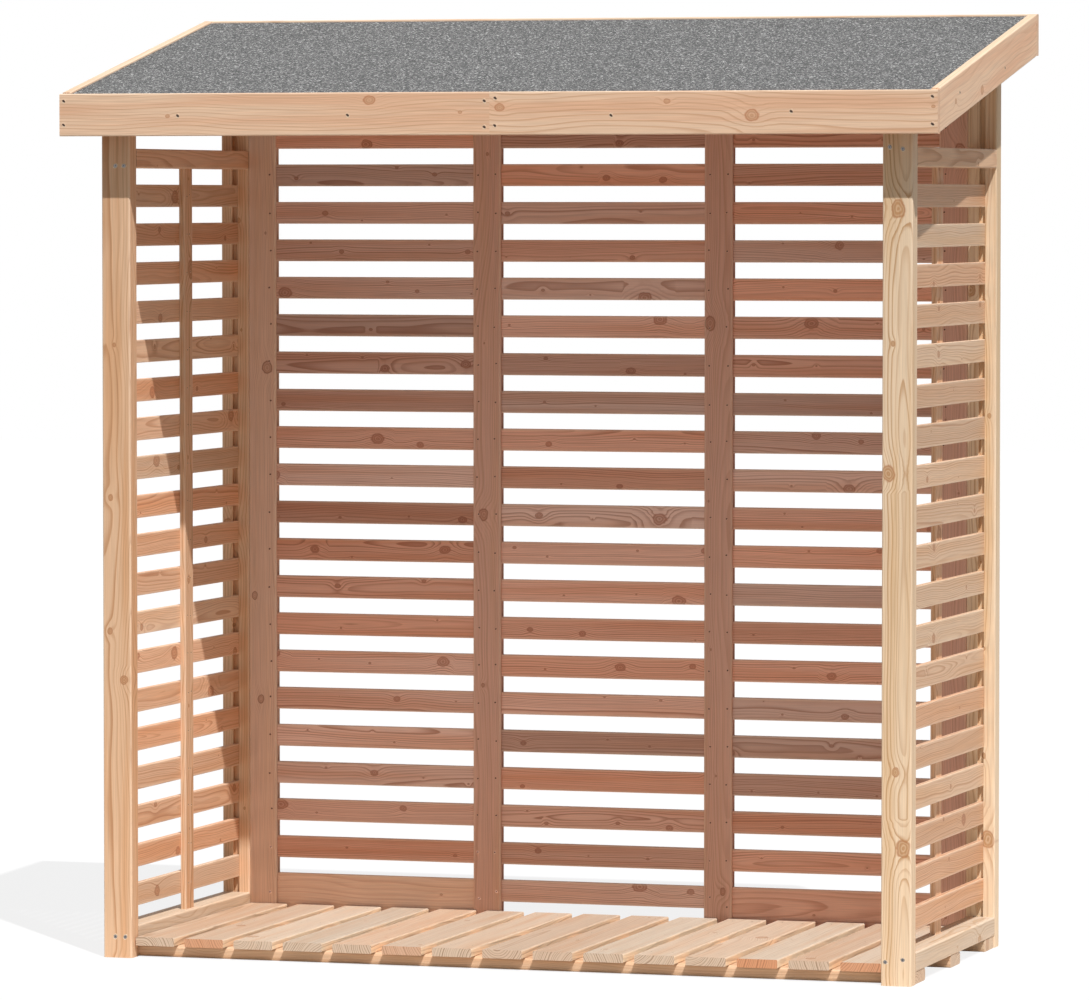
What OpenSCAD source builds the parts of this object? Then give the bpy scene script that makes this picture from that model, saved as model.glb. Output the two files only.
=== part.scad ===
// Open-fronted log store of planed softwood: grooved corner posts, slatted side and
// back walls let into the grooves, a boarded floor on three flat bearers, and a
// lean-to roof of felt on boards inside a frame of fascia boards.
// Millimetres. X is the width, Y runs from the open front to the back, Z is up.
// The origin is on the ground, under the middle of the roof's outline.

/* [Overall] */
// Width over the outer faces of the corner posts
frame_w = 1940; // [1500:10:2400]
// Depth over the outer faces of the corner posts
frame_d = 850; // [650:10:1100]

/* [Posts and rails] */
// Width of a post, stile or side rail across its grooved face
post_w = 70; // [60:1:90]
// Thickness of a post from front to back
post_t = 45; // [40:1:60]
// Thickness of a back wall stile from front to back
stile_t = 28; // [26:1:40]
// Height of a side rail
rail_h = 45; // [35:1:70]
// Radius of the planed arrises on the frame timber
frame_arris = 4; // [2:0.5:6]

/* [Slats] */
// Face height of a slat and width of a centre batten
slat_h = 53; // [40:1:70]
// Thickness of a slat
slat_t = 14; // [10:0.5:16]
// Open gap between two slats
slat_gap = 38; // [25:1:50]
// Number of slats in a side wall
slat_rows = 19; // [12:1:22]
// Radius of the arrises on slats and battens
slat_arris = 1.5; // [1:0.5:3]
// Depth of the grooves that hold the slats
groove_depth = 10; // [6:1:12]
// Free space on each side of a slat in its groove
groove_play = 0.25; // [0.1:0.05:0.5]
// Free space between a slat's end and the bottom of its groove
groove_end_play = 0.8; // [0.2:0.1:0.9]

/* [Back wall] */
// Clear width of the middle bay between the two inner stiles
middle_bay_w = 510; // [300:10:800]
// Height of the wide boards at the foot and the head of the back wall
back_board_h = 95; // [80:1:110]
// Smallest gap that is left under a slat above the head board
upper_gap_min = 25; // [20:1:35]

/* [Floor] */
// Width of a floor board
floor_board_w = 95; // [80:1:100]
// Thickness of a floor board
floor_board_t = 20; // [16:1:28]
// Number of floor boards
floor_boards = 15; // [12:1:15]
// Gap between the outer floor boards and the side rails
floor_side_gap = 3; // [1:0.5:8]
// Distance of the boards' front ends behind the front posts' faces
floor_setback = 17; // [5:1:40]
// Gap between the boards' back ends and the back wall
floor_back_gap = 3; // [1:0.5:10]
// Width of a bearer
bearer_w = 95; // [70:1:120]
// Thickness of a bearer
bearer_t = 28; // [20:1:45]
// Distance of a bearer's ends inside the outer faces of the posts
bearer_inset = 2; // [0:0.5:10]
// Radius of the bearers' arrises
bearer_arris = 8; // [2:0.5:9]

/* [Roof] */
// Slope of the roof in degrees
roof_pitch = 11.3; // [6:0.1:16]
// Overhang of the roof beyond the front posts
front_overhang = 74; // [50:1:120]
// Overhang of the roof beyond the rear posts
rear_overhang = 60; // [40:1:120]
// Overhang of the roof beyond the side faces of the posts
side_overhang = 75; // [40:1:120]
// Height of the front fascia's lower edge above the top rails
eaves_gap = 28; // [26:1:80]
// Width of a fascia board
fascia_h = 98; // [90:1:120]
// Thickness of a fascia board
fascia_t = 20; // [16:1:28]
// Radius of the arrises on the fascia and floor boards
board_arris = 3; // [1:0.5:4]
// Depth of a rafter below the deck
rafter_h = 45; // [38:1:46]
// Width of a rafter
rafter_w = 45; // [35:1:50]
// Number of rafters
rafters = 5; // [3:1:7]
// Height of the beams between the post heads
beam_h = 45; // [35:1:45]
// Thickness of the deck boards
deck_t = 12; // [9:1:18]
// Number of deck boards
deck_boards = 9; // [6:1:12]
// Gap between two deck boards
deck_gap = 2; // [1:0.5:4]
// Thickness of the roofing felt
felt_t = 3; // [2:0.5:4]
// Depth of the felt below the top edges of the fascia boards
felt_recess = 5; // [2:0.5:8]

/* [Hidden] */
$fn = 24;

// Grooves run up the middle of the posts' and stiles' edges
groove_w = slat_t + 2 * groove_play;
side_groove_inset = (post_w - groove_w) / 2;
back_groove_inset = (stile_t - groove_w) / 2;

// Places across the width
left_x = -frame_w / 2;
inner_w = frame_w - 2 * post_w;
side_slat_x = left_x + side_groove_inset + groove_play;

// Places from front to back
front_y = -(frame_d + rear_overhang - front_overhang) / 2;
rear_y = front_y + frame_d;
rail_y = front_y + post_t;
rail_len = frame_d - 2 * post_t;
back_face_y = rear_y - post_t;
back_slat_y = back_face_y + back_groove_inset + groove_play;

// Heights of the side walls and of the slat rows
slat_pitch = slat_h + slat_gap;
rows_h = slat_rows * slat_pitch + slat_gap;
bottom_rail_top = bearer_t + rail_h;
top_rail_z = bottom_rail_top + rows_h;
foot_board_top = bearer_t + back_board_h;
head_board_z = foot_board_top + rows_h;
head_board_top = head_board_z + back_board_h;

// The roof's top edges lie on one plane, which rises from the front fascia's face
roof_front_y = front_y - front_overhang;
roof_rear_y = rear_y + rear_overhang;
roof_w = frame_w + 2 * side_overhang;
front_fascia_z = top_rail_z + rail_h + eaves_gap;
eaves_z = front_fascia_z + fascia_h;
deck_depth = felt_recess + felt_t;
rafter_depth = deck_depth + deck_t;
beam_depth = rafter_depth + rafter_h;
front_beam_z = roof_z(front_y) - beam_depth / cos(roof_pitch) - beam_h;
rear_beam_z = roof_z(back_face_y) - beam_depth / cos(roof_pitch) - beam_h;
upper_space = rear_beam_z - head_board_top;
upper_rows = max(0, floor(upper_space / (slat_h + upper_gap_min)));

// Back wall bays, from left to right
panel_w = (inner_w - middle_bay_w) / 2 - 2 * post_w;
stile_x = [
    -inner_w / 2,
    -middle_bay_w / 2 - post_w,
    middle_bay_w / 2,
    inner_w / 2 - post_w
];

// Cuts reach this far past what they cut
over = 1;
// Larger than any piece, for cutting above the roof planes
far = 4000;

// Height of the roof's top plane at a place from front to back
function roof_z(y) = eaves_z + (y - roof_front_y) * tan(roof_pitch);

// Rectangle with rounded corners
module rounded_section(w, h, r) {
    union() {
        translate([r, 0]) square([w - 2 * r, h]);
        translate([0, r]) square([w, h - 2 * r]);
        for (x = [r, w - r], y = [r, h - r])
            translate([x, y]) circle(r);
    }
}

// Planed timber standing up, from front to back, and across
module timber_up(size, r) {
    linear_extrude(size.z) rounded_section(size.x, size.y, r);
}

module timber_deep(size, r) {
    translate([0, size.y, 0])
        rotate([90, 0, 0])
            linear_extrude(size.y) rounded_section(size.x, size.z, r);
}

module timber_across(size, r) {
    rotate([90, 0, 90])
        linear_extrude(size.x) rounded_section(size.y, size.z, r);
}

module mirrored() {
    mirror([1, 0, 0]) children();
}

// Moves to the sloping roof frame: its origin is on the front fascia's top edge,
// its Y runs up the slope and its Z is square to the roof
module on_slope(depth) {
    translate([0, roof_front_y, eaves_z])
        rotate([roof_pitch, 0, 0])
            translate([0, 0, -depth]) children();
}

// Everything above the plane at a depth below the roof's top plane
module above_slope(depth) {
    on_slope(depth) translate([-far / 2, -far / 2, 0]) cube(far);
}

// Everything between two upright planes across the store
module between_y(y0, y1) {
    translate([-far / 2, y0, 0]) cube([far, y1 - y0, far]);
}

// Corner post whose groove faces the side wall, its head cut to the rafters' slope
module corner_post(y, groove_y) {
    difference() {
        translate([left_x, y, 0])
            linear_extrude(roof_z(y + post_t))
                difference() {
                    rounded_section(post_w, post_t, frame_arris);
                    translate([side_groove_inset, groove_y])
                        square([groove_w, groove_depth + over]);
                }
        above_slope(beam_depth);
    }
}

module front_post() {
    corner_post(front_y, post_t - groove_depth);
}

module rear_post() {
    corner_post(back_face_y, -over);
}

module side_rail(z) {
    translate([left_x, rail_y, z])
        timber_deep([post_w, rail_len, rail_h], frame_arris);
}

module side_slats() {
    reach = groove_depth - groove_end_play;
    for (i = [0 : slat_rows - 1])
        translate([side_slat_x, rail_y - reach, bottom_rail_top + slat_gap + i * slat_pitch])
            timber_deep([slat_t, rail_len + 2 * reach, slat_h], slat_arris);
}

// The batten stands between the rails against the inner faces of the slats
module centre_batten() {
    translate([side_slat_x + slat_t, (front_y + rear_y - slat_h) / 2, bottom_rail_top])
        timber_up([slat_t, slat_h, rows_h], slat_arris);
}

// Back stile with a groove in its left edge, its right edge or both
module back_stile(x, left_groove, right_groove) {
    translate([x, back_face_y, 0])
        linear_extrude(rear_beam_z)
            difference() {
                rounded_section(post_w, stile_t, frame_arris);
                if (left_groove)
                    translate([-over, back_groove_inset])
                        square([groove_depth + over, groove_w]);
                if (right_groove)
                    translate([post_w - groove_depth, back_groove_inset])
                        square([groove_depth + over, groove_w]);
            }
}

// One board or slat of the back wall, let into the stiles on both sides of a bay
module back_board(x, bay_w, z, h) {
    reach = groove_depth - groove_end_play;
    translate([x - reach, back_slat_y, z])
        timber_across([bay_w + 2 * reach, slat_t, h], slat_arris);
}

// Slat rows of one bay: first_row is 0, or -1 where a slat takes the foot board's place
module back_slats(x, bay_w, first_row) {
    for (i = [first_row : slat_rows - 1])
        back_board(x, bay_w, foot_board_top + slat_gap + i * slat_pitch, slat_h);
    if (upper_rows > 0)
        for (i = [1 : upper_rows])
            back_board(x, bay_w, head_board_top + i * upper_space / upper_rows - slat_h, slat_h);
}

// Beam between the heads of two posts, its top cut to the rafters' slope
module head_beam(y, z) {
    difference() {
        translate([-inner_w / 2, y, z])
            timber_across([inner_w, post_t, 2 * beam_h], board_arris);
        above_slope(beam_depth);
    }
}

module bearer(y) {
    translate([left_x + bearer_inset, y, 0])
        timber_across([frame_w - 2 * bearer_inset, bearer_w, bearer_t], bearer_arris);
}

module floor_deck_boards() {
    first_x = -inner_w / 2 + floor_side_gap;
    step = (inner_w - 2 * floor_side_gap - floor_board_w) / (floor_boards - 1);
    board_y = front_y + floor_setback;
    board_len = back_face_y - floor_back_gap - board_y;
    for (i = [0 : floor_boards - 1])
        translate([first_x + i * step, board_y, bearer_t])
            timber_deep([floor_board_w, board_len, floor_board_t], board_arris);
}

// Rafter number i, from the left post to the right one, between the two fascias
module rafter(i) {
    step = (frame_w - rafter_w) / (rafters - 1);
    intersection() {
        on_slope(beam_depth)
            translate([left_x + i * step, -rafter_h, 0])
                timber_deep([rafter_w, (roof_rear_y - roof_front_y) / cos(roof_pitch) + 2 * rafter_h,
                             rafter_h], slat_arris);
        between_y(roof_front_y + fascia_t, roof_rear_y - fascia_t);
    }
}

// Boards across the rafters, the first and the last trimmed to the fascias
module deck_board_rows() {
    slope_len = (roof_rear_y - roof_front_y) / cos(roof_pitch);
    step = (slope_len + deck_gap) / deck_boards;
    for (i = [0 : deck_boards - 1])
        intersection() {
            on_slope(rafter_depth)
                translate([-roof_w / 2 + fascia_t, i * step, 0])
                    cube([roof_w - 2 * fascia_t, step - deck_gap, deck_t]);
            between_y(roof_front_y + fascia_t, roof_rear_y - fascia_t);
        }
}

module felt_sheet() {
    slope_len = (roof_rear_y - roof_front_y) / cos(roof_pitch);
    intersection() {
        on_slope(deck_depth)
            translate([-roof_w / 2 + fascia_t, 0, 0])
                cube([roof_w - 2 * fascia_t, slope_len, felt_t]);
        between_y(roof_front_y + fascia_t, roof_rear_y - fascia_t);
    }
}

// Left half of the front fascia, which ends on the middle of the store
module front_fascia() {
    translate([-roof_w / 2, roof_front_y, front_fascia_z])
        timber_across([roof_w / 2, fascia_t, fascia_h], board_arris);
}

// Side fascia on the slope, cut upright behind the front and rear fascias
module side_fascia() {
    slope_len = (roof_rear_y - roof_front_y) / cos(roof_pitch);
    intersection() {
        on_slope(fascia_h)
            translate([-roof_w / 2, -fascia_h, 0])
                timber_deep([fascia_t, slope_len + 2 * fascia_h, fascia_h], board_arris);
        between_y(roof_front_y + fascia_t, roof_rear_y - fascia_t);
    }
}

module rear_fascia_board() {
    inner_y = roof_rear_y - fascia_t;
    translate([-roof_w / 2, inner_y, roof_z(inner_y) - fascia_h])
        timber_across([roof_w, fascia_t, fascia_h], board_arris);
}

module front_left_post() { color("burlywood") front_post(); }
module front_right_post() { color("burlywood") mirrored() front_post(); }
module rear_left_post() { color("burlywood") rear_post(); }
module rear_right_post() { color("burlywood") mirrored() rear_post(); }
module left_bottom_rail() { color("burlywood") side_rail(bearer_t); }
module right_bottom_rail() { color("burlywood") mirrored() side_rail(bearer_t); }
module left_top_rail() { color("peru") side_rail(top_rail_z); }
module right_top_rail() { color("peru") mirrored() side_rail(top_rail_z); }
module left_wall_slats() { color("tan") side_slats(); }
module right_wall_slats() { color("tan") mirrored() side_slats(); }
module left_centre_batten() { color("tan") centre_batten(); }
module right_centre_batten() { color("tan") mirrored() centre_batten(); }
module back_outer_left_stile() { color("peru") back_stile(stile_x[0], false, true); }
module back_inner_left_stile() { color("peru") back_stile(stile_x[1], true, true); }
module back_inner_right_stile() { color("peru") back_stile(stile_x[2], true, true); }
module back_outer_right_stile() { color("peru") back_stile(stile_x[3], true, false); }
module back_left_slats() { color("sienna") back_slats(stile_x[0] + post_w, panel_w, 0); }
module back_middle_slats() { color("sienna") back_slats(stile_x[1] + post_w, middle_bay_w, -1); }
module back_right_slats() { color("sienna") back_slats(stile_x[2] + post_w, panel_w, 0); }
module back_left_foot_board() {
    color("sienna") back_board(stile_x[0] + post_w, panel_w, bearer_t, back_board_h);
}
module back_right_foot_board() {
    color("sienna") back_board(stile_x[2] + post_w, panel_w, bearer_t, back_board_h);
}
module back_left_head_board() {
    color("sienna") back_board(stile_x[0] + post_w, panel_w, head_board_z, back_board_h);
}
module back_middle_head_board() {
    color("sienna") back_board(stile_x[1] + post_w, middle_bay_w, head_board_z, back_board_h);
}
module back_right_head_board() {
    color("sienna") back_board(stile_x[2] + post_w, panel_w, head_board_z, back_board_h);
}
module front_beam() { color("peru") head_beam(front_y, front_beam_z); }
module rear_beam() { color("peru") head_beam(back_face_y, rear_beam_z); }
module front_bearer() { color("peru") bearer(rail_y); }
module middle_bearer() { color("peru") bearer((front_y + rear_y - bearer_w) / 2); }
module rear_bearer() { color("peru") bearer(back_face_y - bearer_w); }
module floor_deck() { color("wheat") floor_deck_boards(); }
module outer_left_rafter() { color("tan") rafter(0); }
module inner_rafters() { color("tan") for (i = [1 : rafters - 2]) rafter(i); }
module outer_right_rafter() { color("tan") rafter(rafters - 1); }
module roof_boards() { color("tan") deck_board_rows(); }
module roof_felt() { color("slategray") felt_sheet(); }
module front_fascia_left() { color("navajowhite") front_fascia(); }
module front_fascia_right() { color("navajowhite") mirrored() front_fascia(); }
module left_fascia() { color("navajowhite") side_fascia(); }
module right_fascia() { color("navajowhite") mirrored() side_fascia(); }
module rear_fascia() { color("navajowhite") rear_fascia_board(); }

front_left_post();
front_right_post();
rear_left_post();
rear_right_post();
left_bottom_rail();
right_bottom_rail();
left_top_rail();
right_top_rail();
left_wall_slats();
right_wall_slats();
left_centre_batten();
right_centre_batten();
back_outer_left_stile();
back_inner_left_stile();
back_inner_right_stile();
back_outer_right_stile();
back_left_slats();
back_middle_slats();
back_right_slats();
back_left_foot_board();
back_right_foot_board();
back_left_head_board();
back_middle_head_board();
back_right_head_board();
front_beam();
rear_beam();
front_bearer();
middle_bearer();
rear_bearer();
floor_deck();
outer_left_rafter();
inner_rafters();
outer_right_rafter();
roof_boards();
roof_felt();
front_fascia_left();
front_fascia_right();
left_fascia();
right_fascia();
rear_fascia();
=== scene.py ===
import math

import bpy
import numpy as np
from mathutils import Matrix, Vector


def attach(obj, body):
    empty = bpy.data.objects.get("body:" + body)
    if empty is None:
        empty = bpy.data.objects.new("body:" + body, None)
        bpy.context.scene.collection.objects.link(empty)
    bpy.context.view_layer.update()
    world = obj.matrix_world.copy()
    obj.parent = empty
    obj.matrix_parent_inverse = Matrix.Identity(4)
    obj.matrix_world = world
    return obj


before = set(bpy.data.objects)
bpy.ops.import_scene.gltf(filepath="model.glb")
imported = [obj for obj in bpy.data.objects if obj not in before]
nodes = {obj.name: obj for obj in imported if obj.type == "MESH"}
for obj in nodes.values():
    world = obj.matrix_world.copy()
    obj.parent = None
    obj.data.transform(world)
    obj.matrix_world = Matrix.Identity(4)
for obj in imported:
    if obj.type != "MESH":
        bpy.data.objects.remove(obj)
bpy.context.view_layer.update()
print("frame loaded:", len(nodes), "boards and board groups")

# Lengths are in metres, and only the places of fasteners in millimetres. The camera's angles and the
# sun's spread are in degrees, other angles in radians.

# camera, lights and floor

camera = {
    "place": (4.560, -14.647, 1.768),
    "turn": 17.375,         # to the left of straight ahead
    "dip": 2.63,            # below the horizon
    "focalPixels": 6552,
    "imageWidth": 1089,
    "sensor": 36.0,
}
light = {
    "sunFrom": (0.3387, -0.4276, 0.838),
    "sunStrength": 3.76,
    "sunSpread": 0.6,
    "skyColour": (0.95, 0.97, 1.0),
    "skyStrength": 0.275,
    # the floor has a sun of its own, in which the wall on the sunny side casts no shadow
    "floor": ["floor_deck"],
    "sunnyWall": ["right_wall_slats", "right_centre_batten", "right_bottom_rail", "right_top_rail",
                  "front_right_post", "rear_right_post"],
    # these stand in the shade all the way down to the floor
    "shaded": ["back_outer_left_stile", "back_inner_left_stile", "back_inner_right_stile",
               "back_outer_right_stile", "back_left_slats", "back_middle_slats", "back_right_slats",
               "back_left_foot_board", "back_right_foot_board"],
}
ground = {
    "reach": 30.0,
    "nearTone": (0.80, 0.73, 0.66),     # what the object sees of it, close by and far off
    "farTone": (0.22, 0.20, 0.18),
    "nearReach": 1.4,
    "farReach": 3.4,
    "seenGlow": 0.84,       # what the camera sees of it: this glow
    "seenTone": 0.14,       # and this grey, which is white together where the sun falls
}


def makeCamera(values):
    data = bpy.data.cameras.new("camera")
    data.sensor_width = values["sensor"]
    data.lens = values["sensor"] * values["focalPixels"] / values["imageWidth"]
    data.clip_end = 200
    item = bpy.data.objects.new("camera", data)
    item.location = values["place"]
    item.rotation_euler = (math.radians(90 - values["dip"]), 0, math.radians(values["turn"]))
    bpy.context.scene.collection.objects.link(item)
    bpy.context.scene.camera = item


# 1 for rays that show a backdrop: from the camera, or by way of a reflection.
def seenByCamera(tree):
    path = tree.nodes.new("ShaderNodeLightPath")
    found = path.outputs["Is Camera Ray"]
    for name in ("Is Glossy Ray", "Is Transmission Ray"):
        found = calc(tree, "MAXIMUM", found, path.outputs[name])
    return found


def makeSun(name, values):
    data = bpy.data.lights.new(name, "SUN")
    data.energy = values["sunStrength"]
    data.angle = math.radians(values["sunSpread"])
    item = bpy.data.objects.new(name, data)
    item.rotation_mode = "QUATERNION"
    item.rotation_quaternion = Vector(values["sunFrom"]).to_track_quat("Z", "Y")
    bpy.context.scene.collection.objects.link(item)
    return item.light_linking


# Nodes for a light to keep to (INCLUDE) or to pass over (EXCLUDE).
def linkSet(name, members, way):
    group = bpy.data.collections.new(name)
    for member in members:
        group.objects.link(nodes[member])
    for entry in group.collection_objects:
        entry.light_linking.link_state = way
    return group


def makeLights(values):
    sun = makeSun("sun", values)
    passedOver = values["floor"] + values["shaded"]
    sun.receiver_collection = linkSet("floor and back wall", passedOver, "EXCLUDE")
    floorSun = makeSun("floor sun", values)
    floorSun.receiver_collection = linkSet("floor alone", values["floor"], "INCLUDE")
    floorSun.blocker_collection = linkSet("wall on the sunny side", values["sunnyWall"], "EXCLUDE")
    world = bpy.data.worlds.new("studio")
    bpy.context.scene.world = world
    world.use_nodes = True
    tree = world.node_tree
    sky = tree.nodes["Background"]
    feed(tree, sky, {"Color": values["skyColour"], "Strength": values["skyStrength"]})
    white = tree.nodes.new("ShaderNodeBackground")
    feed(tree, white, {"Color": (1, 1, 1), "Strength": 1.0})
    mix = tree.nodes.new("ShaderNodeMixShader")
    join(tree, mix.inputs["Fac"], seenByCamera(tree))
    join(tree, mix.inputs[1], sky.outputs[0])
    join(tree, mix.inputs[2], white.outputs[0])
    join(tree, tree.nodes["World Output"].inputs["Surface"], mix.outputs[0])


# Pale ground that darkens from nearReach to farReach; the camera sees it white with a faint shadow.
def makeGround(values):
    mesh = bpy.data.meshes.new("ground")
    r = values["reach"]
    mesh.from_pydata([(-r, -r, 0), (r, -r, 0), (r, r, 0), (-r, r, 0)], [], [(0, 1, 2, 3)])
    item = bpy.data.objects.new("ground", mesh)
    bpy.context.scene.collection.objects.link(item)
    material, tree, shader = newMaterial("pale floor")
    tree.nodes.remove(shader)
    unseen = tree.nodes.new("ShaderNodeBsdfDiffuse")
    x, y = parts(tree, tree.nodes.new("ShaderNodeTexCoord").outputs["Object"])[:2]
    far = rise(tree, length(tree, x, y), values["nearReach"], values["farReach"])
    join(tree, unseen.inputs["Color"], blendColour(tree, far, values["nearTone"], values["farTone"]))
    seen = tree.nodes.new("ShaderNodeBsdfDiffuse")
    join(tree, seen.inputs["Color"], (values["seenTone"],) * 3)
    glow = tree.nodes.new("ShaderNodeEmission")
    glow.inputs["Strength"].default_value = values["seenGlow"]
    both = tree.nodes.new("ShaderNodeAddShader")
    join(tree, both.inputs[0], seen.outputs[0])
    join(tree, both.inputs[1], glow.outputs[0])
    mix = tree.nodes.new("ShaderNodeMixShader")
    join(tree, mix.inputs["Fac"], seenByCamera(tree))
    join(tree, mix.inputs[1], unseen.outputs[0])
    join(tree, mix.inputs[2], both.outputs[0])
    join(tree, tree.nodes["Material Output"].inputs["Surface"], mix.outputs[0])
    mesh.materials.append(material)


# small helpers for node trees

# Feeds a socket from another socket, or sets it; a colour of three numbers is opaque.
def join(tree, socket, value):
    if isinstance(value, bpy.types.NodeSocket):
        tree.links.new(value, socket)
    elif isinstance(value, tuple) and socket.type == "RGBA":
        socket.default_value = (*value, 1)
    elif value is not None:
        socket.default_value = value


# Joins several sockets of a node by their names.
def feed(tree, node, values):
    for name, value in values.items():
        join(tree, node.inputs[name], value)


def calc(tree, operation, a, b=None, c=None):
    node = tree.nodes.new("ShaderNodeMath")
    node.operation = operation
    for socket, value in zip(node.inputs, (a, b, c)):
        join(tree, socket, value)
    return node.outputs[0]


def add(tree, a, b):
    return calc(tree, "ADD", a, b)


def minus(tree, a, b):
    return calc(tree, "SUBTRACT", a, b)


def times(tree, a, b):
    return calc(tree, "MULTIPLY", a, b)


def over(tree, a, b):
    return calc(tree, "DIVIDE", a, b)


# a times b, plus c.
def timesPlus(tree, a, b, c):
    return calc(tree, "MULTIPLY_ADD", a, b, c)


# Square root of a squared plus b squared.
def length(tree, a, b):
    return calc(tree, "SQRT", timesPlus(tree, a, a, times(tree, b, b)))


# Smooth step from 0 at low to 1 at high.
def rise(tree, value, low, high):
    node = tree.nodes.new("ShaderNodeMapRange")
    node.interpolation_type = "SMOOTHSTEP"
    feed(tree, node, {"Value": value, "From Min": low, "From Max": high})
    return node.outputs["Result"]


# Smooth step from 1 at low to 0 at high.
def fall(tree, value, low, high):
    return minus(tree, 1.0, rise(tree, value, low, high))


# Straight line from low at 0 to high at 1, and level beyond.
def spread(tree, value, low, high):
    node = tree.nodes.new("ShaderNodeMapRange")
    feed(tree, node, {"Value": value, "To Min": low, "To Max": high})
    return node.outputs["Result"]


def vector(tree, x, y, z):
    node = tree.nodes.new("ShaderNodeCombineXYZ")
    for socket, value in zip(node.inputs, (x, y, z)):
        join(tree, socket, value)
    return node.outputs[0]


def parts(tree, value):
    node = tree.nodes.new("ShaderNodeSeparateXYZ")
    join(tree, node.inputs[0], value)
    return node.outputs[0], node.outputs[1], node.outputs[2]


def cloud(tree, place, scale=1.0, detail=2.0, roughness=0.5):
    node = tree.nodes.new("ShaderNodeTexNoise")
    feed(tree, node, {"Vector": place, "Scale": scale, "Detail": detail, "Roughness": roughness})
    return node


# Noise drawn out along a board: so many waves a metre along it, so many more across and through it.
def grainCloud(tree, along, across, through, shift, waves, fineWaves, roughness=0.5):
    sideways = add(tree, times(tree, across, fineWaves), shift)
    where = vector(tree, times(tree, along, waves), sideways, times(tree, through, fineWaves))
    return cloud(tree, where, 1.0, 1.0, roughness).outputs[0]


# Noise along one number only.
def ripple(tree, number, detail=1.0):
    node = tree.nodes.new("ShaderNodeTexNoise")
    node.noise_dimensions = "1D"
    feed(tree, node, {"W": number, "Scale": 1.0, "Detail": detail})
    return node.outputs[0]


# Cells round random points along one number; feature says what Distance is measured to.
def rowOfCells(tree, number, feature="F1"):
    node = tree.nodes.new("ShaderNodeTexVoronoi")
    node.voronoi_dimensions = "1D"
    node.feature = feature
    feed(tree, node, {"W": number, "Scale": 1.0})
    return node.outputs


# Three random numbers from 0 to 1 that stay the same while x, y and z do. Callers that draw for the same
# board tell their draws apart by constants of their own.
def dice(tree, x, y, z):
    node = tree.nodes.new("ShaderNodeTexWhiteNoise")
    join(tree, node.inputs["Vector"], vector(tree, x, y, z))
    return parts(tree, node.outputs["Color"])


def blendColour(tree, amount, a, b, way="MIX"):
    node = tree.nodes.new("ShaderNodeMix")
    node.data_type = "RGBA"
    node.blend_type = way
    for socket, value in ((0, amount), (6, a), (7, b)):     # 6 and 7 are its two colours
        join(tree, node.inputs[socket], value)
    return node.outputs[2]


# A shader node group; takes and gives map a socket's name to its kind or starting number.
def newGroup(name, takes, gives):
    tree = bpy.data.node_groups.new(name, "ShaderNodeTree")
    for sockets, way in ((takes, "INPUT"), (gives, "OUTPUT")):
        for label, start in sockets.items():
            kind = start if isinstance(start, str) else "Float"
            made = tree.interface.new_socket(label, in_out=way, socket_type="NodeSocket" + kind)
            if not isinstance(start, str):
                made.default_value = start
    return tree, tree.nodes.new("NodeGroupInput").outputs, tree.nodes.new("NodeGroupOutput").inputs


# Puts a group into a tree; each keyword sets or feeds the socket of that name.
def place(tree, group, **values):
    node = tree.nodes.new("ShaderNodeGroup")
    node.node_tree = group
    feed(tree, node, values)
    return node.outputs


def newMaterial(name):
    material = bpy.data.materials.new(name)
    material.use_nodes = True
    return material, material.node_tree, material.node_tree.nodes["Principled BSDF"]


# Gives a shader its colour and roughness, and the relief of a height where there is one.
def finish(tree, shader, colour, roughness, height=None, relief=0.0, strength=1.0):
    feed(tree, shader, {"Base Color": colour, "Roughness": roughness})
    if height:
        bump = tree.nodes.new("ShaderNodeBump")
        feed(tree, bump, {"Height": height, "Distance": relief, "Strength": strength})
        join(tree, shader.inputs["Normal"], bump.outputs[0])


# shared effects: what every board has, whatever its look

growth = {
    "apart": 13.7,                  # steps along the noise from one board to the next
    "bendWaves": 1.5,               # of the pith, sideways, by the metre
    "bowWaves": 1.1,                # and in depth
    "bowApart": 71.3,               # steps from the sideways noise to the one in depth
    "nearest": 0.35,                # least depth of the pith, in pithDepths
    "uneven": (3.0, 30.0),          # waves a metre of the rings' unevenness, along and across
    "unevenness": 1.5,              # in ring widths
    "yearPace": 0.23,               # how soon wide and narrow years change
    "yearDrift": 2.2,               # and how far that moves a ring, in rings
    "lateFull": 0.92,               # where in a ring the late wood is darkest
    "lateEnd": 0.93,                # and where it breaks off
    "faintest": 0.3,                # strength of the faintest ring
    "streaks": (9.0, 420.0, 0.6),   # waves along and across, and roughness
    "broad": (1.3, 34.0),
}
knots = {
    "apart": 17.31,                 # cells from one board's row to the next
    "fade": 0.12,                   # share of a cell in which its knot fades out
    "least": 0.001,                 # strength of a faded knot, so that nothing is divided by 0
    "stretch": 0.75,                # of the way along the board, in knotSpacings
    "reach": 1.6,                   # how much of the half width the knots' middles cover
    "rarity": 3.0,                  # the more, the fewer big knots
    "smallest": 0.2,                # in knotSizes
    "range": 1.1,                   # from the smallest to the biggest
    "missing": (0.15, 0.25),        # random numbers between no knot and a whole one
    "tiniest": 0.0002,
    "waves": 70.0,                  # of the outline's wobble, by the metre
    "wobble": 0.6,
    "edge": (0.8, 1.1),             # these are distances from the middle, in knot radii
    "rimIn": (0.74, 0.95),
    "rimOut": (1.0, 1.25),
    "swell": 1.1,                   # how far the rings bulge round a knot, in its radii
    "swellFall": 0.13,
    "rings": 13.0,                  # pace of a knot's own rings
    "ringTone": (0.3, 0.5),         # how far their darkness swings, and round what
}
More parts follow.
